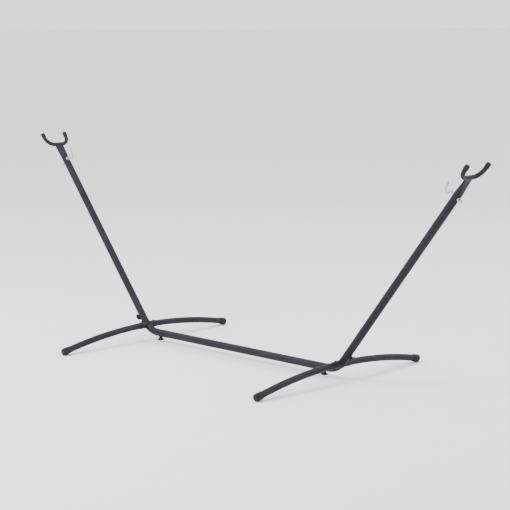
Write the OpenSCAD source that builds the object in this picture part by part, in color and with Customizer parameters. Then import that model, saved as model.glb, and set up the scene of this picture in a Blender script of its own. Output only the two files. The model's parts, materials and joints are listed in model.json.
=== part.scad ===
// Free-standing hammock stand: a beam on two bowed feet with two leaning arms.
// X runs along the beam, Y along the feet, Z up, and the floor is z = 0.

/* [Stand] */
// Distance between the two points where the beam's and the arms' axes cross
vertex_span = 1414.8; // [1200:1:1600]
// Height of the beam's axis above the floor
beam_height = 52.4; // [50:0.1:70]
// Lean of each arm from the vertical, in degrees
arm_lean = 38.3; // [30:0.1:45]
// Length of an arm, from the axis crossing to its top
arm_top = 1277; // [1000:1:1400]

/* [Main tubes] */
// Outside diameter of beam, elbows and arms
tube_d = 40; // [38:0.5:42]
// Wall thickness of every tube
tube_wall = 1.5; // [1.2:0.1:2]
// Radius of the elbow's bend, on its axis
elbow_bend = 125; // [110:1:140]
// Length of a spigot inside the tube that it holds
spigot_len = 80; // [70:1:100]
// Gap between a spigot and its tube, on the radius
spigot_gap = 0.25; // [0.2:0.05:0.4]

/* [Feet] */
// Distance from foot end to foot end
foot_span = 1200; // [1000:1:1300]
// How far the middle of a foot stands above its ends
foot_rise = 67.5; // [60:0.1:75]
// Outside diameter of a foot tube
foot_d = 34; // [30:0.5:35]
// Outside diameter of a foot socket
socket_d = 38; // [38:0.5:40]
// Where a foot socket ends, from the elbow's axis
socket_end = 60; // [55:1:70]
// Where the foot bolt stands, from the elbow's axis
foot_bolt_y = 40; // [35:1:45]
// Outside diameter of a foot end cap
foot_cap_d = 41; // [39:0.5:42]
// Length of a foot end cap
foot_cap_len = 44; // [30:1:50]

/* [Fork] */
// Outside diameter of the fork's tube
fork_d = 22; // [20:0.5:25]
// Half length of the fork's straight base
fork_base = 26; // [20:0.5:34]
// Radius of the fork's bends, on the axis
fork_bend = 52; // [40:0.5:56]
// Splay of each fork branch from the arm's direction, in degrees
fork_splay = 3; // [0:0.5:15]
// Length of a branch past its bend, up to the end of its cap
fork_branch = 30; // [28:0.5:60]
// Outside diameter of a fork tip cap
tip_cap_d = 25; // [24:0.5:28]
// Length of a fork tip cap
tip_cap_len = 26; // [20:0.5:28]

/* [Hook] */
// Diameter of the hook's rod and of its thread
hook_d = 8; // [8:8]
// Distance of the hook's bolt from the axis crossing, along the arm
hook_s = 1170; // [1000:1:1170]
// Radius of the bowl, on the rod's axis
bowl_bend = 12; // [11:0.5:14]

/* [Knobs] */
// Largest diameter of a locking knob
knob_d = 37; // [32:0.5:40]
// Height of a locking knob
knob_h = 17; // [15:0.5:18]
// Finger scallops around a knob
knob_lobes = 6; // [5:8]
// Beam knob, from the axis crossing
beam_knob_s = 88; // [86:1:100]
// Arm knob, from the axis crossing
arm_knob_s = 112; // [86:1:116]

/* [Hidden] */

LEFT = -1;
RIGHT = 1;
FRONT = -1;
BACK = 1;
FINE = 64;        // facets of a small round
BEND_FINE = 180;  // facets of a whole turn of a bend
FOOT_FINE = 1080; // facets of a whole turn of a foot's circle
SLOT = 0.1;       // extra length of a cutter past the face it cuts
LAP = 0.4;        // a straight length reaches this far into the bend beside it
STEP = 0.03;      // and is this much larger in radius

tube_r = tube_d / 2;
tube_in_r = tube_r - tube_wall;
vertex_x = vertex_span / 2;

// Elbow
elbow_turn = 90 - arm_lean;
elbow_tangent = elbow_bend * tan(elbow_turn / 2);
elbow_cx = vertex_x - elbow_tangent;
elbow_cz = beam_height + elbow_bend;
seam_s = elbow_tangent + 1.4;   // the tubes end here, just past the bend
spigot_r = tube_in_r - spigot_gap;
spigot_in_r = spigot_r - tube_wall;

// Feet: each lies on one circle that passes through the elbow's axis
foot_end_z = 17.6;       // height of a foot's axis at its ends
foot_z = foot_end_z + foot_rise;
foot_turn = acos((elbow_cz - foot_z) / elbow_bend); // place of the foot along the elbow's bend
foot_x = elbow_cx + elbow_bend * sin(foot_turn);
foot_arc = (pow(foot_span / 2, 2) + pow(foot_rise, 2)) / (2 * foot_rise);
foot_r = foot_d / 2;
foot_in_r = foot_r - tube_wall;
foot_start_y = 22;
foot_end_angle = asin(foot_span / 2 / foot_arc);
foot_bolt_angle = asin(foot_bolt_y / foot_arc);
foot_cap_angle = foot_end_angle - foot_cap_len / 2 / foot_arc * 180 / PI;
foot_cap_floor = 6;
foot_cap_round = 7;
foot_cap_mouth_r = foot_r + 1.8;
foot_gap = 0.3;        // foot tube in its socket and in its cap, on the radius
socket_start_y = 3;
weld_gap = 0.05;       // between two coped tubes that are welded

// Foot bolts, M6, each screwed into a nut that is welded inside the foot
foot_bolt_d = 6;
foot_bolt_hole_r = 3.3;
foot_hex = 10;
foot_head_h = 4;
foot_nut_h = 5;
foot_nut_top = sqrt(pow(foot_in_r, 2) - pow(foot_hex / 2 / cos(30), 2)) - 0.05;
foot_bolt_tip = foot_nut_top - foot_nut_h - 3;

// M8 fasteners
m8_hex = 13;
m8_nut_h = 6.5;
m8_hole_r = 4.3;
thread_gap = 0.05;
washer_hole_r = 4.2;
washer_r = 9;

// Saddle washers, curved to sit round the arm under the hook's nuts
saddle_r = 12;
saddle_h = 2;

// Arm
arm_flat_start = 1182;  // the round tube ends and its flattened top begins
arm_flat_end = 1262;
arm_flat_half_w = 28;
arm_flat_half_t = 5;
arm_rings = 9;          // rings of the flattened stretch
arm_sides = 48;

// Fork
fork_r = fork_d / 2;
fork_in_r = fork_r - tube_wall;
fork_s = arm_top + fork_r - 1;
fork_turn = 90 - fork_splay;
fork_branch_y = fork_base + fork_bend * sin(fork_turn);
fork_branch_s = fork_s + fork_bend * (1 - cos(fork_turn));
tip_cap_gap = 0.1;
tip_cap_floor = 3;

// Hook, drawn in the plane of the stand: n runs inwards from the arm's axis, s up along the arm
hook_r = hook_d / 2;
hook_outer = tube_r + saddle_h + m8_nut_h + 14;  // threaded end outside the arm
hook_straight = tube_r + saddle_h + m8_nut_h + 4;
hook_drop_bend = 9;
hook_drop_turn = 65;
hook_drop_len = 12;
bowl_turn = 141;
hook_tip_len = 38;
hook_round = 1;        // chamfer of the rod's ends

// Locking knobs
knob_clear = 0.3;      // between tube, washer and knob
knob_hole_r = 4.5;
knob_washer_h = 1.5;
knob_neck_d = 20;
knob_base = tube_r + knob_clear + knob_washer_h + knob_clear;
knob_core_h = 12;      // depth of the stud inside the knob
weld_nut_top = sqrt(pow(spigot_in_r, 2) - pow(m8_hex / 2 / cos(30), 2)) - 0.05;
stud_tip = weld_nut_top - m8_nut_h;

// ---------- frames ----------

// Draws for the +X end, or mirrors it to the -X end.
module at_end(side) {
    mirror([side < 0 ? 1 : 0, 0, 0]) children();
}

// Frame of an arm: origin at the axis crossing, z along the arm, x outwards and down.
module on_arm(side) {
    at_end(side) translate([vertex_x, 0, beam_height]) rotate([0, arm_lean, 0]) children();
}

// Frame of a foot at an angle along its circle: y outwards along the tube, z away from the floor.
module on_foot(side, fore, angle) {
    at_end(side) mirror([0, fore < 0 ? 1 : 0, 0])
        translate([foot_x, 0, foot_z - foot_arc]) rotate([-angle, 0, 0])
            translate([0, 0, foot_arc]) children();
}

// Frame of a locking knob: z runs outwards from the axis of the tube that it holds.
module at_beam_knob(side) {
    at_end(side) translate([vertex_x - beam_knob_s, 0, beam_height]) rotate([180, 0, 0]) children();
}

module at_arm_knob(side) {
    on_arm(side) translate([0, 0, arm_knob_s]) rotate([0, 90, 0]) children();
}

// ---------- shapes ----------

module pipe(r_out, r_in, length) {
    difference() {
        cylinder(r = r_out, h = length, $fn = FINE);
        translate([0, 0, -SLOT]) cylinder(r = r_in, h = length + 2 * SLOT, $fn = FINE);
    }
}

// Part of a ring of round section, from angle a to angle b about z.
module bend(radius, r, a, b, fine = BEND_FINE) {
    rotate([0, 0, a]) rotate_extrude(angle = b - a, $fn = fine)
        translate([radius, 0]) circle(r = r, $fn = FINE);
}

module hex_nut(across, height, hole_r) {
    difference() {
        cylinder(d = across / cos(30), h = height, $fn = 6);
        translate([0, 0, -SLOT]) cylinder(r = hole_r, h = height + 2 * SLOT, $fn = FINE);
    }
}

// Cup with a rounded end; it widens from its mouth at z = 0.
module cup(mouth_r, r_out, r_in, length, floor_t, round_r) {
    rotate_extrude($fn = FINE) difference() {
        union() {
            polygon([[0, 0], [mouth_r, 0], [r_out, length * 0.55],
                [r_out, length - round_r], [0, length - round_r]]);
            square([r_out - round_r, length]);
            translate([r_out - round_r, length - round_r]) circle(r = round_r, $fn = FINE);
        }
        translate([-SLOT, -SLOT]) square([r_in + SLOT, length - floor_t + SLOT]);
    }
}

// ---------- beam and elbows ----------

module beam_tube() {
    half = vertex_x - seam_s;
    color("#3b3b3e") difference() {
        translate([-half, 0, beam_height]) rotate([0, 90, 0]) pipe(tube_r, tube_in_r, 2 * half);
        for (side = [LEFT, RIGHT]) at_beam_knob(side) cylinder(r = knob_hole_r, h = tube_d, $fn = FINE);
    }
}

// One spigot and the full-size collar that its tube butts against, along z from the end of the bend.
module spigot() {
    collar = seam_s - elbow_tangent;
    translate([0, 0, -LAP]) cylinder(r = tube_r, h = collar + LAP, $fn = FINE);
    cylinder(r = spigot_r, h = collar + spigot_len, $fn = FINE);
}

module elbow_body() {
    translate([elbow_cx, 0, elbow_cz]) rotate([90, 0, 0])
        bend(elbow_bend, tube_r - STEP, -90, -90 + elbow_turn);
    translate([elbow_cx, 0, beam_height]) rotate([0, -90, 0]) spigot();
    translate([vertex_x, 0, beam_height]) rotate([0, arm_lean, 0])
        translate([0, 0, elbow_tangent]) spigot();
}

module elbow(side) {
    color("#343437") difference() {
        at_end(side) elbow_body();
        at_end(side) elbow_bore();
        at_beam_knob(side) cylinder(r = knob_hole_r, h = tube_d, $fn = FINE);
        at_arm_knob(side) cylinder(r = knob_hole_r, h = tube_d, $fn = FINE);
    }
}

// The hollow of an elbow, open at both spigots.
module elbow_bore() {
    reach = seam_s - elbow_tangent + spigot_len + SLOT;
    translate([elbow_cx, 0, elbow_cz]) rotate([90, 0, 0])
        bend(elbow_bend, spigot_in_r - STEP, -90, -90 + elbow_turn);
    translate([elbow_cx, 0, beam_height]) rotate([0, -90, 0])
        translate([0, 0, -LAP]) cylinder(r = spigot_in_r, h = reach + LAP, $fn = FINE);
    translate([vertex_x, 0, beam_height]) rotate([0, arm_lean, 0])
        translate([0, 0, elbow_tangent - LAP]) cylinder(r = spigot_in_r, h = reach + LAP, $fn = FINE);
}

// ---------- feet ----------

module socket(side, fore) {
    color("#343437") difference() {
        on_foot(side, fore, foot_bolt_angle)
            translate([0, socket_start_y - foot_bolt_y, 0]) rotate([-90, 0, 0])
                pipe(socket_d / 2, foot_r + foot_gap, socket_end - socket_start_y);
        at_end(side) translate([elbow_cx, 0, elbow_cz]) rotate([90, 0, 0])
            bend(elbow_bend, tube_r + weld_gap, -90, -90 + elbow_turn);
        on_foot(side, fore, foot_bolt_angle) cylinder(r = foot_bolt_hole_r, h = tube_d, $fn = FINE);
    }
}

module foot_tube(side, fore) {
    a = asin(foot_start_y / foot_arc);
    b = foot_end_angle - foot_cap_floor / foot_arc * 180 / PI;
    color("#38383b") difference() {
        on_foot(side, fore, 0) translate([0, 0, -foot_arc]) rotate([0, -90, 0])
            bend(foot_arc, foot_r, a, b, FOOT_FINE);
        on_foot(side, fore, 0) translate([0, 0, -foot_arc]) rotate([0, -90, 0])
            bend(foot_arc, foot_in_r, a - SLOT, b + SLOT, FOOT_FINE);
        on_foot(side, fore, foot_bolt_angle) cylinder(r = foot_bolt_hole_r, h = tube_d, $fn = FINE);
    }
}

// The cap's underside is flat where it stands on the floor.
module foot_cap(side, fore) {
    color("#1c1c1e") difference() {
        on_foot(side, fore, foot_cap_angle) translate([0, -foot_cap_len / 2, 0]) rotate([-90, 0, 0])
            cup(foot_cap_mouth_r, foot_cap_d / 2, foot_r + foot_gap, foot_cap_len,
                foot_cap_floor, foot_cap_round);
        translate([-2 * vertex_span, -foot_span, -foot_cap_d])
            cube([4 * vertex_span, 2 * foot_span, foot_cap_d]);
    }
}

module foot_bolts(side) {
    color("#202022") for (fore = [FRONT, BACK]) on_foot(side, fore, foot_bolt_angle) {
        translate([0, 0, socket_d / 2]) cylinder(d = foot_hex / cos(30), h = foot_head_h, $fn = 6);
        translate([0, 0, foot_bolt_tip])
            cylinder(d = foot_bolt_d, h = socket_d / 2 - foot_bolt_tip + SLOT, $fn = FINE);
    }
}

module foot_nuts(side) {
    color("#8d8e90") for (fore = [FRONT, BACK]) on_foot(side, fore, foot_bolt_angle)
        translate([0, 0, foot_nut_top - foot_nut_h])
            hex_nut(foot_hex, foot_nut_h, foot_bolt_d / 2 + thread_gap);
}

// ---------- arms ----------

function ease(t) = t * t * (3 - 2 * t);
function flat_part(s) = ease(min(1, (s - arm_flat_start) / (arm_flat_end - arm_flat_start)));

// Rings of the arm's flattened stretch, inset from its outer skin.
function ring_s(i) = arm_flat_start + (arm_top + fork_r - arm_flat_start) * i / arm_rings;
function ring_half_t(s) = tube_r - STEP + (arm_flat_half_t - tube_r) * flat_part(s);
function ring_half_w(s) = tube_r - STEP + (arm_flat_half_w - tube_r) * flat_part(s);
function ring_point(s, k, inset) =
    let (t = ring_half_t(s) - inset,
         w = ring_half_w(s) - inset,
         q = 360 * (k + 0.5) / arm_sides)
    [t * cos(q), (w - t) * sign(sin(q)) + t * sin(q), s];

// A stadium section lofted from round to flat, past the arm's top.
module flattened(inset) {
    n = arm_sides;
    over = inset > 0 ? SLOT : 0;
    points = [for (i = [0 : arm_rings], k = [0 : n - 1])
        ring_point(ring_s(i), k, inset) + [0, 0, i == arm_rings ? over : 0]];
    walls = [for (i = [0 : arm_rings - 1], k = [0 : n - 1])
        let (a = i * n + k, b = i * n + (k + 1) % n) each [[a, a + n, b], [b, a + n, b + n]]];
    ends = [[for (k = [0 : n - 1]) k], [for (k = [n - 1 : -1 : 0]) arm_rings * n + k]];
    polyhedron(points = points, faces = concat(walls, ends));
}

module arm_tube(side) {
    round_len = arm_flat_start - seam_s + LAP;
    color("#3b3b3e") on_arm(side) difference() {
        union() {
            translate([0, 0, seam_s]) cylinder(r = tube_r, h = round_len, $fn = FINE);
            flattened(0);
        }
        translate([0, 0, seam_s - SLOT])
            cylinder(r = tube_in_r, h = round_len + SLOT, $fn = FINE);
        flattened(tube_wall);
        translate([0, 0, fork_s]) rotate([90, 0, 0])
            cylinder(r = fork_r + weld_gap, h = 2 * tube_d, center = true, $fn = FINE);
        translate([0, 0, fork_s]) translate([-tube_r, -tube_d, 0]) cube([tube_d, 2 * tube_d, tube_d]);
        translate([0, 0, hook_s]) rotate([0, 90, 0])
            cylinder(r = m8_hole_r, h = 2 * tube_d, center = true, $fn = FINE);
        translate([0, 0, arm_knob_s]) rotate([0, 90, 0])
            cylinder(r = knob_hole_r, h = tube_d, $fn = FINE);
    }
}

// ---------- forks ----------

// Frame at the start of a branch, z along it.
module on_branch(side, fore) {
    on_arm(side) mirror([0, fore < 0 ? 1 : 0, 0])
        translate([0, fork_branch_y, fork_branch_s]) rotate([-fork_splay, 0, 0]) children();
}

module fork_rod(r, over) {
    translate([0, 0, fork_s]) rotate([90, 0, 0])
        cylinder(r = r, h = 2 * (fork_base + LAP), center = true, $fn = FINE);
    for (fore = [FRONT, BACK]) mirror([0, fore < 0 ? 1 : 0, 0]) {
        translate([0, fork_base, fork_s + fork_bend]) rotate([0, 0, 90]) rotate([90, 0, 0])
            bend(fork_bend, r - STEP, -90, -90 + fork_turn);
        translate([0, fork_branch_y, fork_branch_s]) rotate([-fork_splay, 0, 0]) translate([0, 0, -LAP])
            cylinder(r = r, h = fork_branch - tip_cap_floor + LAP + over, $fn = FINE);
    }
}

module fork(side) {
    color("#2e2e31") on_arm(side) difference() {
        fork_rod(fork_r, 0);
        fork_rod(fork_in_r, SLOT);
    }
}

module tip_cap(side, fore) {
    color("#1c1c1e") on_branch(side, fore) translate([0, 0, fork_branch - tip_cap_len])
        cup(fork_r + 1.1, tip_cap_d / 2, fork_r + tip_cap_gap, tip_cap_len, tip_cap_floor, 3);
}

// ---------- hooks ----------

module rod_end(length) {
    cylinder(r = hook_r, h = length - hook_round, $fn = FINE);
    translate([0, 0, length - hook_round])
        cylinder(r1 = hook_r, r2 = hook_r - hook_round, h = hook_round, $fn = FINE);
}

// Drawn with x = n and y = s, so the bends are turns about z.
module hook_rod() {
    drop_x = hook_straight + hook_drop_bend * sin(hook_drop_turn);
    drop_y = -hook_drop_bend * (1 - cos(hook_drop_turn));
    bowl_in_x = drop_x + hook_drop_len * cos(hook_drop_turn);
    bowl_in_y = drop_y - hook_drop_len * sin(hook_drop_turn);
    bowl_x = bowl_in_x + bowl_bend * sin(hook_drop_turn);
    bowl_y = bowl_in_y + bowl_bend * cos(hook_drop_turn);
    rise_turn = bowl_turn - hook_drop_turn;
    tip_x = bowl_x + bowl_bend * sin(rise_turn);
    tip_y = bowl_y - bowl_bend * cos(rise_turn);
    translate([hook_straight + LAP, 0, 0]) rotate([0, -90, 0])
        rod_end(hook_outer + hook_straight + LAP);
    translate([hook_straight, -hook_drop_bend, 0])
        bend(hook_drop_bend, hook_r - STEP, 90 - hook_drop_turn, 90);
    translate([drop_x, drop_y, 0]) rotate([0, 0, -hook_drop_turn]) rotate([0, 90, 0])
        translate([0, 0, -LAP]) cylinder(r = hook_r, h = hook_drop_len + 2 * LAP, $fn = FINE);
    translate([bowl_x, bowl_y, 0])
        bend(bowl_bend, hook_r - STEP, -90 - hook_drop_turn, -90 + rise_turn);
    translate([tip_x, tip_y, 0]) rotate([0, 0, rise_turn]) rotate([0, 90, 0])
        translate([0, 0, -LAP]) rod_end(hook_tip_len + LAP);
}

module hook(side) {
    color("#c9cacc") on_arm(side) translate([0, 0, hook_s])
        rotate([0, 0, 180]) rotate([90, 0, 0]) hook_rod();
}

// Both sides of the arm at the hook's bolt, z pointing away from the arm's surface.
module beside_arm(side) {
    on_arm(side) translate([0, 0, hook_s])
        for (turn = [90, -90]) rotate([0, turn, 0]) translate([0, 0, tube_r]) children();
}

// A saddle washer: a disc cut from a shell that lies round the tube.
module hook_washers(side) {
    color("#c9cacc") beside_arm(side) intersection() {
        translate([0, 0, -tube_r]) rotate([0, 90, 0]) translate([0, 0, -saddle_r - SLOT])
            pipe(tube_r + saddle_h, tube_r + weld_gap, 2 * (saddle_r + SLOT));
        translate([0, 0, -saddle_r]) pipe(saddle_r, washer_hole_r, 2 * saddle_r);
    }
}

module hook_nuts(side) {
    color("#c9cacc") beside_arm(side) translate([0, 0, saddle_h])
        hex_nut(m8_hex, m8_nut_h, hook_r + thread_gap);
}

// ---------- locking knobs ----------

module knob_handle() {
    scallop_r = 5;
    color("#1c1c1e") translate([0, 0, knob_base]) difference() {
        rotate_extrude($fn = FINE) polygon([
            [0, 0], [knob_neck_d / 2, 0], [knob_neck_d / 2, knob_h * 0.3],
            [knob_d / 2 - 4.5, knob_h * 0.5], [knob_d / 2 - 1, knob_h * 0.66], [knob_d / 2, knob_h * 0.72],
            [knob_d / 2, knob_h * 0.92], [knob_d / 2 - 1.5, knob_h], [0, knob_h]]);
        for (k = [0 : knob_lobes - 1]) rotate([0, 0, 360 * (k + 0.5) / knob_lobes])
            translate([knob_d / 2 + scallop_r * 0.35, 0, knob_h * 0.3])
                cylinder(r = scallop_r, h = knob_h, $fn = FINE);
        translate([0, 0, -SLOT]) cylinder(r = hook_r, h = knob_core_h + SLOT, $fn = FINE);
    }
}

module knob_stud() {
    color("#c9cacc") translate([0, 0, stud_tip])
        cylinder(r = hook_r, h = knob_base + knob_core_h - stud_tip, $fn = FINE);
}

module knob_washer() {
    color("#202022") translate([0, 0, tube_r + knob_clear])
        pipe(washer_r, washer_hole_r, knob_washer_h);
}

module weld_nut() {
    color("#8d8e90") translate([0, 0, stud_tip]) hex_nut(m8_hex, m8_nut_h, hook_r + thread_gap);
}

beam_tube();
elbow(LEFT);  // left_elbow
elbow(RIGHT);  // right_elbow
socket(LEFT, FRONT);  // left_front_socket
socket(LEFT, BACK);  // left_back_socket
socket(RIGHT, FRONT);  // right_front_socket
socket(RIGHT, BACK);  // right_back_socket
foot_tube(LEFT, FRONT);  // left_front_foot
foot_tube(LEFT, BACK);  // left_back_foot
foot_tube(RIGHT, FRONT);  // right_front_foot
foot_tube(RIGHT, BACK);  // right_back_foot
foot_cap(LEFT, FRONT);  // left_front_foot_cap
foot_cap(LEFT, BACK);  // left_back_foot_cap
foot_cap(RIGHT, FRONT);  // right_front_foot_cap
foot_cap(RIGHT, BACK);  // right_back_foot_cap
foot_bolts(LEFT);  // left_foot_bolts
foot_bolts(RIGHT);  // right_foot_bolts
foot_nuts(LEFT);  // left_foot_nuts
foot_nuts(RIGHT);  // right_foot_nuts
arm_tube(LEFT);  // left_arm
arm_tube(RIGHT);  // right_arm
fork(LEFT);  // left_fork
fork(RIGHT);  // right_fork
tip_cap(LEFT, FRONT);  // left_front_tip_cap
tip_cap(LEFT, BACK);  // left_back_tip_cap
tip_cap(RIGHT, FRONT);  // right_front_tip_cap
tip_cap(RIGHT, BACK);  // right_back_tip_cap
hook(LEFT);  // left_hook
hook(RIGHT);  // right_hook
hook_washers(LEFT);  // left_hook_washers
hook_washers(RIGHT);  // right_hook_washers
hook_nuts(LEFT);  // left_hook_nuts
hook_nuts(RIGHT);  // right_hook_nuts
at_beam_knob(LEFT) knob_handle();  // left_beam_knob
at_beam_knob(RIGHT) knob_handle();  // right_beam_knob
at_arm_knob(LEFT) knob_handle();  // left_arm_knob
at_arm_knob(RIGHT) knob_handle();  // right_arm_knob
at_beam_knob(LEFT) knob_stud();  // left_beam_stud
at_beam_knob(RIGHT) knob_stud();  // right_beam_stud
at_arm_knob(LEFT) knob_stud();  // left_arm_stud
at_arm_knob(RIGHT) knob_stud();  // right_arm_stud
at_beam_knob(LEFT) knob_washer();  // left_beam_washer
at_beam_knob(RIGHT) knob_washer();  // right_beam_washer
at_arm_knob(LEFT) knob_washer();  // left_arm_washer
at_arm_knob(RIGHT) knob_washer();  // right_arm_washer
at_beam_knob(LEFT) weld_nut();  // left_beam_weld_nut
at_beam_knob(RIGHT) weld_nut();  // right_beam_weld_nut
at_arm_knob(LEFT) weld_nut();  // left_arm_weld_nut
at_arm_knob(RIGHT) weld_nut();  // right_arm_weld_nut
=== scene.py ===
import json
import math

import bpy
from mathutils import Matrix, Vector


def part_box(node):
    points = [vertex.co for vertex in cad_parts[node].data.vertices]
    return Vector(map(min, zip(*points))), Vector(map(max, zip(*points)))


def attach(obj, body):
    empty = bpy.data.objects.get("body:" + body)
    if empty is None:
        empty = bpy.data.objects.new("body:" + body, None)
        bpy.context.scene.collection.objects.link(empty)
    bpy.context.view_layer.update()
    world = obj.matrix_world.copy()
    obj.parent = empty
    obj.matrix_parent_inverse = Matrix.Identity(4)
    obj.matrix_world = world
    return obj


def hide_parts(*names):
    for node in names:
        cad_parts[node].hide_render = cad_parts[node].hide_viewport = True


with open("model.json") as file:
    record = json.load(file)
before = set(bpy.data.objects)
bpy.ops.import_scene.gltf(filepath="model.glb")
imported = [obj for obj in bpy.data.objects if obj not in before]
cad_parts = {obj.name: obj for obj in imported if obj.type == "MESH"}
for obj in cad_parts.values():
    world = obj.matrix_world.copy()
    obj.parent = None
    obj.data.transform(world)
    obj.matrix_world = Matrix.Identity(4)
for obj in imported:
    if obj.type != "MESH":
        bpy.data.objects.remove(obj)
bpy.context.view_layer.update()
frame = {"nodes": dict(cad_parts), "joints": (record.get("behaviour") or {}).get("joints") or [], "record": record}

# ---------------------------------------------------------------- sizes, in metres

MM = 0.001
TAU = math.tau
SIXTH = math.tau / 6        # between two corners of a hexagon

TUBE_R = 20 * MM            # beam, elbows and arms
TUBE_WALL = 1.5 * MM
ELBOW_BEND = 125 * MM
SPIGOT_GAP = 0.25 * MM      # between an elbow's spigot and its tube, on the radius

FOOT_HALF_SPAN = 600 * MM   # a foot lies on one circle
FOOT_RISE = 67.5 * MM
FOOT_R = 17 * MM
SOCKET_R = 19 * MM
SOCKET_START = 3 * MM
FOOT_BOLT_Y = 40 * MM
FOOT_BOLT_HEAD_H = 4 * MM
FOOT_NUT_H = 5 * MM         # nuts are welded inside the foot
FOOT_CAP_R = 20.5 * MM
FOOT_CAP_LEN = 44 * MM
FOOT_CAP_MOUTH_R = 18.8 * MM

ARM_FLAT_START = 1182 * MM  # along the arm, from where its axis crosses the beam's
ARM_FLAT_END = 1262 * MM
ARM_TOP = 1277 * MM
ARM_KNOB_S = 112 * MM
ARM_SEAM = 62 * MM
ARM_FLAT_HALF_W = 28 * MM
ARM_FLAT_HALF_T = 5 * MM

FORK_R = 11 * MM
FORK_SINK = 1 * MM          # of the fork into the arm's end
FORK_S = ARM_TOP + FORK_R - FORK_SINK
FORK_BASE = 26 * MM
FORK_BEND = 52 * MM
FORK_SPLAY = math.radians(3)
FORK_BRANCH = 30 * MM
TIP_CAP_R = 12.5 * MM
TIP_CAP_LEN = 26 * MM

M8_R = 4 * MM
M8_PITCH = 1.25 * MM
M8_CLEAR_R = 4.2 * MM       # bore of a washer
M8_NUT_BORE = 3.7 * MM
M8_HEX = 13 * MM
M8_NUT_H = 6.5 * MM
M8_WASHER_R = 9 * MM
SADDLE_R = 12 * MM          # washers curved round the arm
SADDLE_H = 2 * MM
M6_R = 3 * MM
M6_PITCH = 1.0 * MM
M6_NUT_BORE = 2.8 * MM
M6_HEX = 10 * MM
THREAD_DEPTH = 0.6134       # of a 60 degree thread, in pitches

KNOB_R = 18.5 * MM
KNOB_NECK_R = 9.5 * MM      # where the finger scallops end
KNOB_GAP = 0.3 * MM
KNOB_WASHER_H = 1.5 * MM

SOCKET_BEAD_R = 2.4 * MM
FORK_BEAD_R = 1.9 * MM
BEAD_PITCH = 1.9 * MM

SIDES = {"left": -1, "right": 1}
ENDS = {"front": -1, "back": 1}

# ---------------------------------------------------------------- camera and lights

CAMERA_PLACE = (5.6324, -5.4647, 1.7430)
CAMERA_YAW = math.radians(45.19)
CAMERA_PITCH = math.radians(8.609)
CAMERA_ROLL = math.radians(-0.391)
CAMERA_LENS = 106.76
CAMERA_SENSOR = 36
CAMERA_REACH = 2000.0
FLOOR_REACH = 600.0
WORLD_STRENGTH = 1.7
LIGHTS = (                  # name, place, target, size in metres, watts
    ("key", (-2.5, -4.5, 6.0), (0, 0, 0.4), (4.0, 4.0), 640),
    ("rim", (3.5, 4.5, 4.5), (0, 0, 0.5), (4.0, 2.5), 200),
)

# ---------------------------------------------------------------- frames


def frame_at(origin, z_axis, x_hint):
    """Right-handed frame as a matrix, its x as near x_hint as z allows."""
    z = Vector(z_axis).normalized()
    y = z.cross(Vector(x_hint)).normalized()
    axes = Matrix((y.cross(z), y, z)).transposed().to_4x4()
    axes.translation = Vector(origin)
    return axes


joints = {joint["name"]: joint for joint in frame["joints"]}


def knob_frame(knob):
    """Origin on the axis of the tube that the knob holds, z outwards through the knob."""
    turn = joints[knob + "_knob_turn"]
    return frame_at(turn["pos_m"], turn["axis"], (0, 1, 0))


def arm_frame(side):
    """Origin where the arm's and the beam's axes cross, z along the arm, x outwards."""
    knob = knob_frame(side + "_arm")
    out = knob.to_3x3().col[2]
    along = Vector((-out.z * (1 if out.x > 0 else -1), 0, abs(out.x)))
    return frame_at(knob.translation - along * ARM_KNOB_S, along, out)


foot_low, foot_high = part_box("right_front_foot")
foot_x = (foot_low.x + foot_high.x) / 2
foot_z = foot_high.z - FOOT_R
foot_circle = (FOOT_HALF_SPAN ** 2 + FOOT_RISE ** 2) / (2 * FOOT_RISE)
foot_end = math.asin(FOOT_HALF_SPAN / foot_circle)
foot_bolt_turn = math.asin(FOOT_BOLT_Y / foot_circle)


def foot_frame(side, end, turn, z_along):
    """Frame on the foot's axis, its z along the tube towards the foot's end, or away from the floor."""
    along = Vector((0, ENDS[end] * math.cos(turn), -math.sin(turn)))
    up = Vector((0, ENDS[end] * math.sin(turn), math.cos(turn)))
    origin = Vector((SIDES[side] * foot_x, 0, foot_z - foot_circle)) + up * foot_circle
    return frame_at(origin, along, up) if z_along else frame_at(origin, up, along)


def branch_frame(side, end):
    """Frame at the start of a fork branch, z along it."""
    turn = math.pi / 2 - FORK_SPLAY
    y = FORK_BASE + FORK_BEND * math.sin(turn)
    s = FORK_S + FORK_BEND * (1 - math.cos(turn))
    along = (0, ENDS[end] * math.sin(FORK_SPLAY), math.cos(FORK_SPLAY))
    return arm_frame(side) @ frame_at((0, ENDS[end] * y, s), along, (1, 0, 0))


# ---------------------------------------------------------------- mesh making


def make_object(name, verts, faces, matrix, material, sharp=35):
    """Smooth object from a mesh placed by a matrix; edges over sharp degrees stay crisp."""
    mesh = bpy.data.meshes.new(name)
    mesh.from_pydata([tuple(v) for v in verts], [], faces)
    mesh.transform(matrix)
    mesh.update()
    mesh.polygons.foreach_set("use_smooth", [True] * len(mesh.polygons))
    mesh.set_sharp_from_angle(angle=math.radians(sharp))
    mesh.materials.append(material)
    obj = bpy.data.objects.new(name, mesh)
    bpy.context.scene.collection.objects.link(obj)
    return obj


def skin(rings, closed=False):
    """Vertices and faces over rings of equal length; open ends are filled in."""
    count = len(rings[0])
    verts = [point for ring in rings for point in ring]
    faces = []
    last = len(rings) if closed else len(rings) - 1
    for i in range(last):
        a, b = i * count, (i + 1) % len(rings) * count
        for k in range(count):
            n = (k + 1) % count
            faces.append((a + k, a + n, b + n, b + k))
    if not closed:
        faces.append(tuple(range(count - 1, -1, -1)))
        faces.append(tuple(range(len(verts) - count, len(verts))))
    return verts, faces


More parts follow.
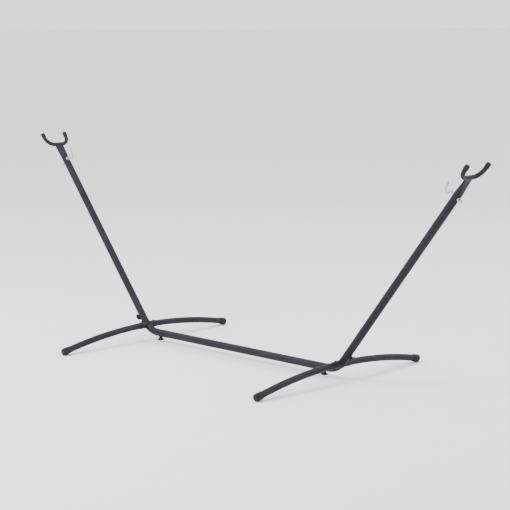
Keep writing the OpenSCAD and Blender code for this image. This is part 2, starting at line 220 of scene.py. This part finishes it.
def lathe(profile, sides=64, closed=False, shape=None):
    """Rings about z from (radius, z) points; shape(radius, z, angle) may vary the radius."""
    rings = []
    for radius, z in profile:
        ring = []
        for k in range(sides):
            angle = TAU * k / sides
            r = shape(radius, z, angle) if shape else radius
            ring.append(Vector((r * math.cos(angle), r * math.sin(angle), z)))
        rings.append(ring)
    return skin(rings, closed)


def sweep(path, radius_at, sides, hint_at, closed=False):
    """Round section along a path; radius_at(distance, angle), and hint_at(i) turns the section."""
    rings = []
    count = len(path)
    distance = 0.0
    for i, point in enumerate(path):
        before = path[i - 1] if i or closed else point
        after = path[(i + 1) % count] if i + 1 < count or closed else point
        tangent = (after - before).normalized()
        if i:
            distance += (point - path[i - 1]).length
        u = hint_at(i)
        u = (u - tangent * u.dot(tangent)).normalized()
        v = tangent.cross(u)
        ring = []
        for k in range(sides):
            angle = TAU * k / sides
            r = radius_at(distance, angle)
            ring.append(point + u * r * math.cos(angle) + v * r * math.sin(angle))
        rings.append(ring)
    return skin(rings, closed)


def arc(centre, radius, start, stop, steps):
    """(x, y) points on an arc, angles in degrees, both ends included."""
    points = []
    for i in range(steps + 1):
        angle = math.radians(start + (stop - start) * i / steps)
        points.append((centre[0] + radius * math.cos(angle), centre[1] + radius * math.sin(angle)))
    return points


def join(parts):
    """One vertex and face list from several."""
    verts, faces = [], []
    for part_verts, part_faces in parts:
        first = len(verts)
        verts += part_verts
        faces += [tuple(first + k for k in face) for face in part_faces]
    return verts, faces


def ease(t):
    """Smooth step from 0 to 1."""
    t = min(1.0, max(0.0, t))
    return t * t * (3 - 2 * t)


# ---------------------------------------------------------------- threads, nuts, washers


def thread_radius(major, pitch, z, angle):
    """Radius of a 60 degree thread: flat crest, sloping flank, flat root."""
    turn = (z / pitch - angle / TAU) % 1.0
    slope = min(1.0, max(0.0, (abs(turn - 0.5) * 2 - 0.12) / 0.7))
    return major - THREAD_DEPTH * pitch * (1 - slope)


def thread_steps(start, stop, pitch):
    """Distances along an axis, eight a turn, which is close enough to carry the thread."""
    steps = max(1, round((stop - start) / pitch * 8))
    return [start + (stop - start) * i / steps for i in range(steps + 1)]


def hex_corner(across):
    """Distance from a hexagon's axis to its corners."""
    return across / 2 / math.cos(SIXTH / 2)


def hex_radius(across, angle):
    """Distance from the axis to the side of a hexagon with a corner at angle 0."""
    sector = (angle + SIXTH / 2) % SIXTH - SIXTH / 2
    return across / 2 / math.cos(SIXTH / 2 - abs(sector))


def chamfered_hex(across, low, high, bore, both=True):
    """Hexagon with 30 degree chamfers, at its top or at both ends, bored, or solid with bore 0."""
    corner = hex_corner(across)
    face = across * 0.475
    depth = (corner - face) * math.tan(math.radians(30))
    limits = [(face + (corner - face) * i / 5, high - depth * i / 5) for i in range(6)]
    bottom = [(corner, low)]
    if both:
        bottom = [(face + (corner - face) * i / 5, low + depth * i / 5) for i in range(5, -1, -1)]
    outer = limits + bottom

    def shape(radius, z, angle):
        return radius if radius < face - 1e-9 else min(radius, hex_radius(across, angle))

    if not bore:
        return lathe(outer[::-1], 96, shape=shape)
    lead = 0.35 * MM
    inner = [(bore + lead, low), (bore, low + lead), (bore, high - lead), (bore + lead, high)]
    return lathe(inner + outer, 96, closed=True, shape=shape)


def washer_profile(bore, outer, low, high):
    """Flat washer with eased edges, as (radius, z) points."""
    edge = 0.25 * MM
    return [
        (bore, low), (outer - edge, low), (outer, low + edge), (outer, high - edge),
        (outer - edge, high), (bore + edge / 2, high), (bore, high - edge / 2),
    ]


# ---------------------------------------------------------------- materials


class Shader:
    """A principled material and short ways to add nodes to it."""

    def __init__(self, name, **sockets):
        self.material = bpy.data.materials.new(name)
        self.material.use_nodes = True
        self.nodes = self.material.node_tree.nodes
        self.links = self.material.node_tree.links
        self.bsdf = self.nodes["Principled BSDF"]
        self.coords = self.add("TexCoord").outputs["Object"]
        for socket, value in sockets.items():
            self.bsdf.inputs[socket].default_value = value

    def add(self, kind, **inputs):
        """New node with its inputs set or linked; _ stands for a space in an input's name."""
        made = self.nodes.new("ShaderNode" + kind)
        for name, value in inputs.items():
            self.put(made.inputs[name.replace("_", " ")], value)
        return made

    def put(self, socket, value):
        """Links a node's output to the socket, or sets a plain value on it."""
        if isinstance(value, bpy.types.NodeSocket):
            self.links.new(value, socket)
        else:
            socket.default_value = value

    def noise(self, scale, detail=2.0, roughness=0.5):
        made = self.add("TexNoise", Vector=self.coords, Scale=scale, Detail=detail, Roughness=roughness)
        return made.outputs["Fac"]

    def cells(self, scale):
        made = self.add("TexVoronoi", Vector=self.coords, Scale=scale)
        return made.outputs["Distance"]

    def ramp(self, value, low, high, out_low, out_high):
        """Carries low to high over to out_low to out_high."""
        made = self.add("MapRange", Value=value, From_Min=low, From_Max=high,
                        To_Min=out_low, To_Max=out_high)
        return made.outputs["Result"]

    def mix(self, factor, colour_a, colour_b):
        made = self.add("Mix")
        made.data_type = "RGBA"
        self.put(made.inputs[0], factor)
        for socket, colour in zip(made.inputs[6:8], (colour_a, colour_b)):
            self.put(socket, colour if isinstance(colour, bpy.types.NodeSocket) else (*colour, 1))
        return made.outputs[2]

    def multiply(self, a, b):
        made = self.nodes.new("ShaderNodeMath")
        made.operation = "MULTIPLY"
        self.put(made.inputs[0], a)
        self.put(made.inputs[1], b)
        return made.outputs[0]

    def upward(self):
        """1 on faces that look up, 0 on faces that look sideways or down."""
        normal = self.add("NewGeometry").outputs["Normal"]
        made = self.add("SeparateXYZ", Vector=normal)
        return self.ramp(made.outputs["Z"], 0.2, 1.0, 0, 1)

    def finish(self, colour, roughness, bumps):
        """bumps are (height, strength, distance), stacked in order."""
        self.put(self.bsdf.inputs["Base Color"], colour)
        self.put(self.bsdf.inputs["Roughness"], roughness)
        under = None
        for height, strength, distance in bumps:
            made = self.add("Bump", Height=height, Strength=strength, Distance=distance)
            if under:
                self.put(made.inputs["Normal"], under)
            under = made.outputs["Normal"]
        self.put(self.bsdf.inputs["Normal"], under)
        return self.material


def powder_coat():
    """Charcoal satin powder coat: orange peel, slow tone drift, specks and faint dust on top."""
    s = Shader("powder_coat", **{"Specular IOR Level": 0.09})
    drift = s.mix(s.ramp(s.noise(7, 3), 0.35, 0.65, 0, 1),
                  (0.0155, 0.0147, 0.0178), (0.0212, 0.0204, 0.0240))
    specks = s.mix(s.ramp(s.noise(2600, 1), 0.68, 0.76, 0, 0.5), drift, (0.03, 0.03, 0.034))
    dust = s.multiply(s.upward(), s.ramp(s.noise(60, 5, 0.7), 0.45, 0.75, 0, 0.05))
    colour = s.mix(dust, specks, (0.20, 0.19, 0.19))
    return s.finish(colour, s.ramp(s.noise(30, 4), 0.3, 0.7, 0.40, 0.50), [
        (s.noise(650, 2), 0.30, 0.25 * MM), (s.noise(3000, 1), 0.20, 0.05 * MM)])


def moulded_plastic(name, tone, gloss):
    """Black moulded plastic with a spark-eroded grain."""
    s = Shader(name, **{"Specular IOR Level": 0.15})
    colour = s.mix(s.ramp(s.noise(90, 4), 0.35, 0.7, 0, 1), (tone, tone, tone * 1.05),
                   (tone * 1.7, tone * 1.7, tone * 1.75))
    return s.finish(colour, s.ramp(s.noise(140, 3), 0.3, 0.7, gloss, gloss + 0.14), [
        (s.cells(1900), 0.35, 0.08 * MM), (s.noise(4200, 2), 0.3, 0.05 * MM)])


def rubber():
    """Soft black rubber, matte, a little bloomed and dusty."""
    s = Shader("rubber", **{"Specular IOR Level": 0.12, "Sheen Weight": 0.02, "Sheen Roughness": 0.5})
    bloom = s.ramp(s.noise(120, 5, 0.65), 0.4, 0.75, 0, 0.5)
    colour = s.mix(bloom, (0.015, 0.015, 0.0165), (0.028, 0.028, 0.030))
    return s.finish(colour, s.ramp(s.noise(200, 3), 0.3, 0.7, 0.62, 0.78), [
        (s.noise(2300, 3), 0.4, 0.08 * MM)])


def zinc():
    """Bright zinc plate: metallic, slightly cloudy, finely drawn."""
    s = Shader("zinc", **{"Metallic": 1.0})
    cloud = s.ramp(s.noise(160, 5, 0.6), 0.35, 0.7, 0, 1)
    colour = s.mix(cloud, (0.47, 0.49, 0.53), (0.33, 0.35, 0.39))
    return s.finish(colour, s.ramp(s.noise(420, 4), 0.3, 0.7, 0.20, 0.36), [
        (s.noise(1500, 3), 0.15, 0.04 * MM)])


def black_zinc():
    """Black plated fasteners, a bare glint on the high spots."""
    s = Shader("black_zinc", **{"Metallic": 0.55, "Specular IOR Level": 0.5})
    worn = s.ramp(s.noise(300, 5, 0.7), 0.62, 0.78, 0, 0.5)
    colour = s.mix(worn, (0.028, 0.028, 0.030), (0.16, 0.16, 0.165))
    return s.finish(colour, s.ramp(s.noise(500, 3), 0.3, 0.7, 0.3, 0.45), [
        (s.noise(1800, 2), 0.2, 0.04 * MM)])


def plain_steel():
    """Uncoated steel of the nuts inside the tubes, lightly oiled."""
    s = Shader("plain_steel", **{"Metallic": 1.0})
    colour = s.mix(s.ramp(s.noise(220, 5), 0.4, 0.7, 0, 1), (0.42, 0.42, 0.43), (0.28, 0.26, 0.24))
    return s.finish(colour, s.ramp(s.noise(400, 3), 0.3, 0.7, 0.32, 0.5), [
        (s.noise(1500, 3), 0.25, 0.05 * MM)])


def pale_floor():
    """Matte, almost white studio floor."""
    s = Shader("pale_floor", **{"Specular IOR Level": 0.2})
    colour = s.mix(s.noise(3, 4), (0.89, 0.89, 0.89), (0.92, 0.92, 0.92))
    return s.finish(colour, s.ramp(s.noise(20, 3), 0, 1, 0.75, 0.9), [
        (s.noise(400, 2), 0.1, 0.1 * MM)])


coat = powder_coat()
cap_plastic = moulded_plastic("cap_plastic", 0.009, 0.42)
knob_plastic = moulded_plastic("knob_plastic", 0.005, 0.38)
tip_rubber = rubber()
bright_zinc = zinc()
dark_zinc = black_zinc()
steel = plain_steel()

SLOT_MATERIALS = {
    "powder_coat": coat,
    "plastic_cap": cap_plastic,
    "rubber_cap": tip_rubber,
    "knob_plastic": knob_plastic,
    "black_fastener": dark_zinc,
    "zinc_plated": bright_zinc,
    "bare_steel": steel,
}


def dress_cad_nodes():
    """Every CAD node takes the material of its slot, also those that a finer piece stands for."""
    slots = {part["node"]: part["material_slot"] for part in frame["record"]["subparts"]}
    for name, obj in frame["nodes"].items():
        obj.data.materials.clear()
        obj.data.materials.append(SLOT_MATERIALS[slots[name]])
        obj.data.polygons.foreach_set("use_smooth", [True] * len(obj.data.polygons))
        obj.data.set_sharp_from_angle(angle=math.radians(30))


def install(obj, body, slot, *nodes):
    """Rides a piece on its body, in place of the CAD nodes named; slot is not used."""
    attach(obj, body)
    if nodes:
        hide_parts(*nodes)


# ---------------------------------------------------------------- locking knobs


def knob_lobes(radius, z, angle):
    """Six finger scallops, deepest at the rim and gone at the neck."""
    valley = (0.5 - 0.5 * math.cos(6 * angle)) ** 1.7
    depth = 0.11 * ease((radius - KNOB_NECK_R) / (KNOB_R - KNOB_NECK_R))
    return radius * (1 - depth * valley)


def knob_profile(base):
    """Neck, hollow flare, broad rounded rim, dished face with a raised centre button."""
    points = [(0.4, 0), (9.5, 0), (10.0, 0.5), (10.0, 3.4)]
    points += arc((16.2, 4.4), 6.2, 180, 121, 8)
    points += [(14.4, 10.1), (16.0, 10.8), (17.2, 11.3)]
    points += arc((17.3, 12.5), 1.2, -70, 0, 6)
    points += arc((16.8, 15.3), 1.7, 0, 90, 8)
    points += [(14.6, 17.0), (12.6, 17.0), (11.9, 16.6), (11.3, 16.0), (8.0, 15.8)]
    points += [(7.5, 15.9), (7.0, 16.4), (6.4, 16.9), (3.0, 17.0), (0.4, 17.0)]
    return [(r * MM, base + z * MM) for r, z in points]


def add_knob(knob):
    """Moulded handle and its stud, which turn, and the loose washer under them."""
    at = knob_frame(knob)
    body = knob + "_knob_screw"
    base = TUBE_R + KNOB_GAP + KNOB_WASHER_H + KNOB_GAP
    handle = make_object(knob + "_star_knob", *lathe(knob_profile(base), 144, shape=knob_lobes),
                         at, knob_plastic, 40)
    install(handle, body, "knob_plastic", knob + "_knob")

    spigot_bore = TUBE_R - 2 * TUBE_WALL - SPIGOT_GAP
    point = 0.4 * MM
    tip = math.sqrt(spigot_bore ** 2 - hex_corner(M8_HEX) ** 2) - M8_NUT_H + point
    zs = thread_steps(tip, base + 1 * MM, M8_PITCH)
    profile = [(M8_R - 1.1 * MM, tip - point)] + [(M8_R, z) for z in zs]

    def threaded(radius, z, angle):
        lead = ease((z - tip) / MM)
        root = thread_radius(M8_R, M8_PITCH, z, angle)
        return radius if z < tip else min(root, M8_R - 0.9 * MM * (1 - lead))

    stud = make_object(knob + "_threaded_stud", *lathe(profile, 32, shape=threaded), at, bright_zinc)
    install(stud, body, "zinc_plated", knob + "_stud")

    low = TUBE_R + KNOB_GAP
    ring = washer_profile(M8_CLEAR_R, M8_WASHER_R, low, low + KNOB_WASHER_H)
    washer = make_object(knob + "_flat_washer", *lathe(ring, 64, closed=True), at, dark_zinc)
    install(washer, knob + "_washer_slide", "black_fastener", knob + "_washer")


# ---------------------------------------------------------------- hooks


def hook_path():
    """Axis of the hook's rod as (n, s): n inwards from the arm's axis, s up along the arm."""
    outer = -(TUBE_R + SADDLE_H + M8_NUT_H + 14 * MM)
    straight = TUBE_R + SADDLE_H + M8_NUT_H + 4 * MM
    drop_bend, drop, drop_len = 9 * MM, 65, 12 * MM
    bowl, rise = 12 * MM, 76
    points = [(n, 0.0) for n in thread_steps(outer, straight, M8_PITCH)]
    shank = len(points)
    points += arc((straight, -drop_bend), drop_bend, 90, 90 - drop, 12)[1:]
    slope = math.radians(drop)
    start = points[-1]
    end = (start[0] + drop_len * math.cos(slope), start[1] - drop_len * math.sin(slope))
    centre = (end[0] + bowl * math.sin(slope), end[1] + bowl * math.cos(slope))
    points += arc(centre, bowl, -90 - drop, -90 + rise, 24)
    tilt = math.radians(rise)
    start = points[-1]
    length = 38 * MM
    ends = (length - 1.6 * MM, length - 0.9 * MM, length - 0.35 * MM, length)
    for step in (length * 0.5, *ends):
        points.append((start[0] + step * math.cos(tilt), start[1] + step * math.sin(tilt)))
    return points, shank


def saddle_washer():
    """Washer bent round the arm: z points away from the arm's axis, x runs along it."""
    edge, gap = 0.3 * MM, 0.05 * MM
    radii = [M8_CLEAR_R, 6 * MM, 8 * MM, 10 * MM, SADDLE_R - edge]
    profile = [(r, gap) for r in radii] + [(SADDLE_R, gap + edge), (SADDLE_R, SADDLE_H - edge)]
    profile += [(r, SADDLE_H) for r in reversed(radii)]
    verts, faces = lathe(profile, 64, closed=True)
    return [Vector((v.x, v.y, math.sqrt((TUBE_R + v.z) ** 2 - v.y ** 2))) for v in verts], faces


def add_hook(side):
    """Bent rod through the arm, held by a nut and a saddle washer on each side."""
    nut_low, nut_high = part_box(side + "_hook_nuts")
    arm = arm_frame(side)
    bolt_s = (arm.inverted() @ ((nut_low + nut_high) / 2)).z
    at = arm @ Matrix.Translation((0, 0, bolt_s))
    flat, shank = hook_path()
    path = [Vector((-n, 0, s)) for n, s in flat]
    shank_len = (path[shank - 1] - path[0]).length
    total = sum((b - a).length for a, b in zip(path, path[1:]))

    def rod_radius(distance, angle):
        tip = (total - distance) / (1.7 * MM)
        if tip < 1:
            return M8_R - 1.5 * MM * (1 - math.sqrt(max(0, 1 - (1 - tip) ** 2)))
        if distance > shank_len + 1e-6:
            return M8_R
        blunt = M8_R - 1.0 * MM * (1 - ease(distance / (1.2 * MM)))
        thread = thread_radius(M8_R, M8_PITCH, distance, angle)
        fade = ease((distance - shank_len + 2 * MM) / (2 * MM))
        return min(blunt, thread + (M8_R - thread) * fade)

    rod_mesh = sweep(path, rod_radius, 28, lambda i: Vector((0, 1, 0)))
    rod = make_object(side + "_bent_hook", *rod_mesh, at, bright_zinc)
    install(rod, "root", "zinc_plated", side + "_hook")

    washers, nuts = [], []
    for turn in (90, -90):
        away = Matrix.Rotation(math.radians(turn), 4, "Y")
        verts, faces = saddle_washer()
        washers.append(([away @ v for v in verts], faces))
        low = TUBE_R + SADDLE_H
        verts, faces = chamfered_hex(M8_HEX, low, low + M8_NUT_H, M8_NUT_BORE)
        nuts.append(([away @ v for v in verts], faces))
    saddles = make_object(side + "_saddle_washers", *join(washers), at, bright_zinc)
    install(saddles, "root", "zinc_plated", side + "_hook_washers")
    hex_nuts = make_object(side + "_hex_hook_nuts", *join(nuts), at, bright_zinc, 25)
    install(hex_nuts, "root", "zinc_plated", side + "_hook_nuts")


# ---------------------------------------------------------------- feet


def foot_cap_profile():
    """Cup that widens from its mouth to a rounded end with a shallow ring; z runs to the foot's end."""
    r, length, bore = FOOT_CAP_R / MM, FOOT_CAP_LEN / MM, FOOT_R / MM + 0.3
    mouth = FOOT_CAP_MOUTH_R / MM
    points = [(bore, 38), (bore, 0.6), (bore + 0.4, 0), (mouth - 0.3, 0), (mouth, 0.3)]
    points += [(mouth + 0.1, 2.0), (mouth - 0.15, 2.3), (mouth - 0.1, 2.7), (mouth + 0.2, 3.0)]
    points += [(r - 0.3, 20), (r, 26)]
    points += arc((r - 7, length - 7), 7, 0, 84, 14)
    points += [(12.9, length), (12.5, length - 0.6), (11.7, length - 0.6)]
    points += [(11.3, length), (0.3, length)]
    return [(a * MM, (z - length / 2) * MM) for a, z in points]


def add_foot_cap(side, end):
    """Cap pressed flat where it stands on the floor."""
    half = FOOT_CAP_LEN / 2 / foot_circle
    at = foot_frame(side, end, foot_end - half, True)
    verts, faces = lathe(foot_cap_profile(), 96)
    placed = [at @ v for v in verts]
    for v in placed:
        v.z = max(v.z, 0.0)
    cap = make_object(f"{side}_{end}_moulded_foot", placed, faces, Matrix.Identity(4), cap_plastic)
    install(cap, "root", "plastic_cap", f"{side}_{end}_foot_cap")


def add_foot_bolts(side):
    """Bolts through socket and foot, with their nuts welded inside the foot."""
    bolts, nuts = [], []
    nut_gap = 0.05 * MM
    nut_top = math.sqrt((FOOT_R - TUBE_WALL) ** 2 - hex_corner(M6_HEX) ** 2) - nut_gap
    for end in ENDS:
        at = foot_frame(side, end, foot_bolt_turn, False)
        head = chamfered_hex(M6_HEX, SOCKET_R, SOCKET_R + FOOT_BOLT_HEAD_H, 0, both=False)
        tip = nut_top - FOOT_NUT_H - 3 * MM
        zs = thread_steps(tip + 0.3 * MM, SOCKET_R - 0.5 * MM, M6_PITCH)
        profile = [(M6_R - 0.9 * MM, tip)] + [(M6_R, z) for z in zs] + [(M6_R, SOCKET_R)]

        def threaded(radius, z, angle):
            return thread_radius(M6_R, M6_PITCH, z, angle) if zs[0] <= z <= zs[-1] else radius

        for made in (head, lathe(profile, 28, shape=threaded)):
            bolts.append(([at @ v for v in made[0]], made[1]))
        nut = chamfered_hex(M6_HEX, nut_top - FOOT_NUT_H, nut_top, M6_NUT_BORE)
        nuts.append(([at @ v for v in nut[0]], nut[1]))
    still = Matrix.Identity(4)
    screws = make_object(side + "_hex_foot_bolts", *join(bolts), still, dark_zinc, 25)
    install(screws, "root", "black_fastener", side + "_foot_bolts")
    made_nuts = make_object(side + "_hex_foot_nuts", *join(nuts), still, steel, 25)
    install(made_nuts, "root", "bare_steel", side + "_foot_nuts")


# ---------------------------------------------------------------- weld beads


def bead_radius(size, pitch):
    """Radius of a weld bead whose ripples follow each other at a pitch."""

    def radius(distance, angle):
        return size * (1 + 0.10 * math.sin(TAU * distance / pitch + 0.8 * math.cos(angle)))

    return radius


def add_bead(name, path, size):
    """Bead along a closed path, its section turned away from the path's middle."""
    middle = sum(path, Vector()) / len(path)
    bead_mesh = sweep(path, bead_radius(size, BEAD_PITCH), 12, lambda i: path[i] - middle, closed=True)
    bead = make_object(name, *bead_mesh, Matrix.Identity(4), coat, 60)
    install(bead, "root", "powder_coat")


def elbow_centre(side):
    """Centre of the circle that the elbow's axis follows."""
    arm = arm_frame(side)
    vertex = arm.translation
    lean = math.atan2(abs(arm.col[2].x), arm.col[2].z)
    tangent = ELBOW_BEND * math.tan((math.pi / 2 - lean) / 2)
    return Vector((vertex.x - math.copysign(tangent, vertex.x), 0, vertex.z + ELBOW_BEND))


def add_socket_weld(side, end):
    """Follows the line where a foot socket meets the elbow."""
    at = foot_frame(side, end, foot_bolt_turn, True)
    centre = elbow_centre(side)

    def outside_elbow(point):
        off = math.hypot(point.x - centre.x, point.z - centre.z) - ELBOW_BEND
        return math.hypot(off, point.y) > TUBE_R

    path = []
    steps = 240
    for k in range(steps):
        angle = TAU * k / steps
        low, high = SOCKET_START - FOOT_BOLT_Y, 0.0
        for _ in range(24):
            middle = (low + high) / 2
            point = at @ Vector((SOCKET_R * math.cos(angle), SOCKET_R * math.sin(angle), middle))
            if outside_elbow(point):
                high = middle
            else:
                low = middle
        path.append(point)
    add_bead(f"{side}_{end}_socket_weld", path, SOCKET_BEAD_R)


def add_fork_weld(side):
    """Runs round the arm's flattened end where it meets the fork."""
    arm = arm_frame(side)
    straight = ARM_FLAT_HALF_W - ARM_FLAT_HALF_T
    outline = []
    for sign, first in ((1, 0), (-1, 180)):
        outline += [(sign * ARM_FLAT_HALF_T, (-straight + straight * i / 20) * sign) for i in range(41)]
        outline += arc((0, sign * straight), ARM_FLAT_HALF_T, first, first + 180, 14)[1:-1]
    path = []
    for x, y in outline:
        path.append(arm @ Vector((x, y, FORK_S - math.sqrt(max(0, FORK_R ** 2 - x ** 2)))))
    add_bead(side + "_fork_weld", path, FORK_BEAD_R)


# ---------------------------------------------------------------- arms and fork tips


def arm_section(s, inset, sides=128):
    """Stadium section of an arm: round below, flattened towards its top."""
    part = ease((s - ARM_FLAT_START) / (ARM_FLAT_END - ARM_FLAT_START))
    half_t = TUBE_R + (ARM_FLAT_HALF_T - TUBE_R) * part - inset
    half_w = TUBE_R + (ARM_FLAT_HALF_W - TUBE_R) * part - inset
    ring = []
    for k in range(sides):
        angle = TAU * (k + 0.5) / sides
        y = math.copysign(half_w - half_t, math.sin(angle)) + half_t * math.sin(angle)
        ring.append(Vector((half_t * math.cos(angle), y, s)))
    return ring


def add_arm(side):
    """Tube with a drawn wall: outside skin, coped top under the fork, and inside skin."""
    stops = [ARM_SEAM, ARM_SEAM + 0.4 * MM] + [ARM_SEAM + 2 * MM + i * 93 * MM for i in range(13)]
    stops += [ARM_FLAT_START + i * 2.5 * MM for i in range(33)] + [ARM_TOP - 9 * MM]
    outside = [arm_section(s, 0.4 * MM if i == 0 else 0) for i, s in enumerate(stops)]
    inside = [arm_section(s, TUBE_WALL) for s in stops]
    for rings, inset in ((outside, 0), (inside, TUBE_WALL)):
        top = arm_section(ARM_TOP, inset)
        for v in top:
            v.z = FORK_S - math.sqrt(FORK_R ** 2 - v.x ** 2) + 0.2 * MM
        rings.append(top)
    arm_mesh = skin(outside + inside[::-1], closed=True)
    arm = make_object(side + "_drawn_arm", *arm_mesh, arm_frame(side), coat)
    install(arm, "root", "powder_coat", side + "_arm")


def tip_cap_profile():
    """Rubber cup with a rolled lip and a domed end; z runs to the tip."""
    r, length, bore = TIP_CAP_R / MM, TIP_CAP_LEN / MM, FORK_R / MM + 0.1
    points = [(bore, 23), (bore, 0.5), (bore + 0.3, 0), (r - 0.5, 0), (r - 0.1, 0.4)]
    points += [(r - 0.1, 1.8), (r - 0.5, 2.4), (r - 0.4, 6), (r - 0.1, 12), (r, 16)]
    points += arc((r - 4.0, length - 4.0), 4.0, 0, 85, 12)
    points += [(5, length), (0.3, length)]
    return [(a * MM, z * MM) for a, z in points]


def add_tip_cap(side, end):
    """Cap that ends level with its fork branch."""
    at = branch_frame(side, end) @ Matrix.Translation((0, 0, FORK_BRANCH - TIP_CAP_LEN))
    cap = make_object(f"{side}_{end}_moulded_tip", *lathe(tip_cap_profile(), 72), at, tip_rubber)
    install(cap, "root", "rubber_cap", f"{side}_{end}_tip_cap")


# ---------------------------------------------------------------- studio


def add_area_light(name, place, target, size, watts):
    """Soft box at a place, looking at a target."""
    light = bpy.data.lights.new(name, "AREA")
    light.shape = "RECTANGLE"
    light.size, light.size_y = size
    light.energy = watts
    obj = bpy.data.objects.new(name, light)
    bpy.context.scene.collection.objects.link(obj)
    look = (Vector(target) - Vector(place)).to_track_quat("-Z", "Y")
    obj.matrix_world = Matrix.Translation(place) @ look.to_matrix().to_4x4()


def add_studio():
    """Even white surroundings, a pale floor and two soft boxes."""
    world = bpy.data.worlds.new("studio")
    world.use_nodes = True
    background = world.node_tree.nodes["Background"]
    background.inputs["Color"].default_value = (1.0, 1.0, 1.0, 1)
    background.inputs["Strength"].default_value = WORLD_STRENGTH
    bpy.context.scene.world = world
    corners = [(x * FLOOR_REACH, y * FLOOR_REACH, 0) for x, y in ((-1, -1), (1, -1), (1, 1), (-1, 1))]
    floor = make_object("floor", corners, [(0, 1, 2, 3)], Matrix.Identity(4), pale_floor())
    for light in LIGHTS:
        add_area_light(*light)


def add_camera():
    """The view of the picture: from the front right, low and far off with a long lens."""
    camera = bpy.data.cameras.new("camera")
    camera.lens = CAMERA_LENS
    camera.sensor_width = CAMERA_SENSOR
    camera.clip_end = CAMERA_REACH
    obj = bpy.data.objects.new("camera", camera)
    bpy.context.scene.collection.objects.link(obj)
    yaw = Matrix.Rotation(CAMERA_YAW, 4, "Z")
    tilt = Matrix.Rotation(math.pi / 2 - CAMERA_PITCH, 4, "X")
    roll = Matrix.Rotation(CAMERA_ROLL, 4, "Z")
    obj.matrix_world = Matrix.Translation(CAMERA_PLACE) @ (yaw @ tilt @ roll)
    bpy.context.scene.camera = obj


add_camera()
add_studio()
dress_cad_nodes()
for side in SIDES:
    add_arm(side)
    add_fork_weld(side)
    add_hook(side)
    add_foot_bolts(side)
    for end in ENDS:
        add_foot_cap(side, end)
        add_tip_cap(side, end)
        add_socket_weld(side, end)
    for place in ("beam", "arm"):
        add_knob(f"{side}_{place}")
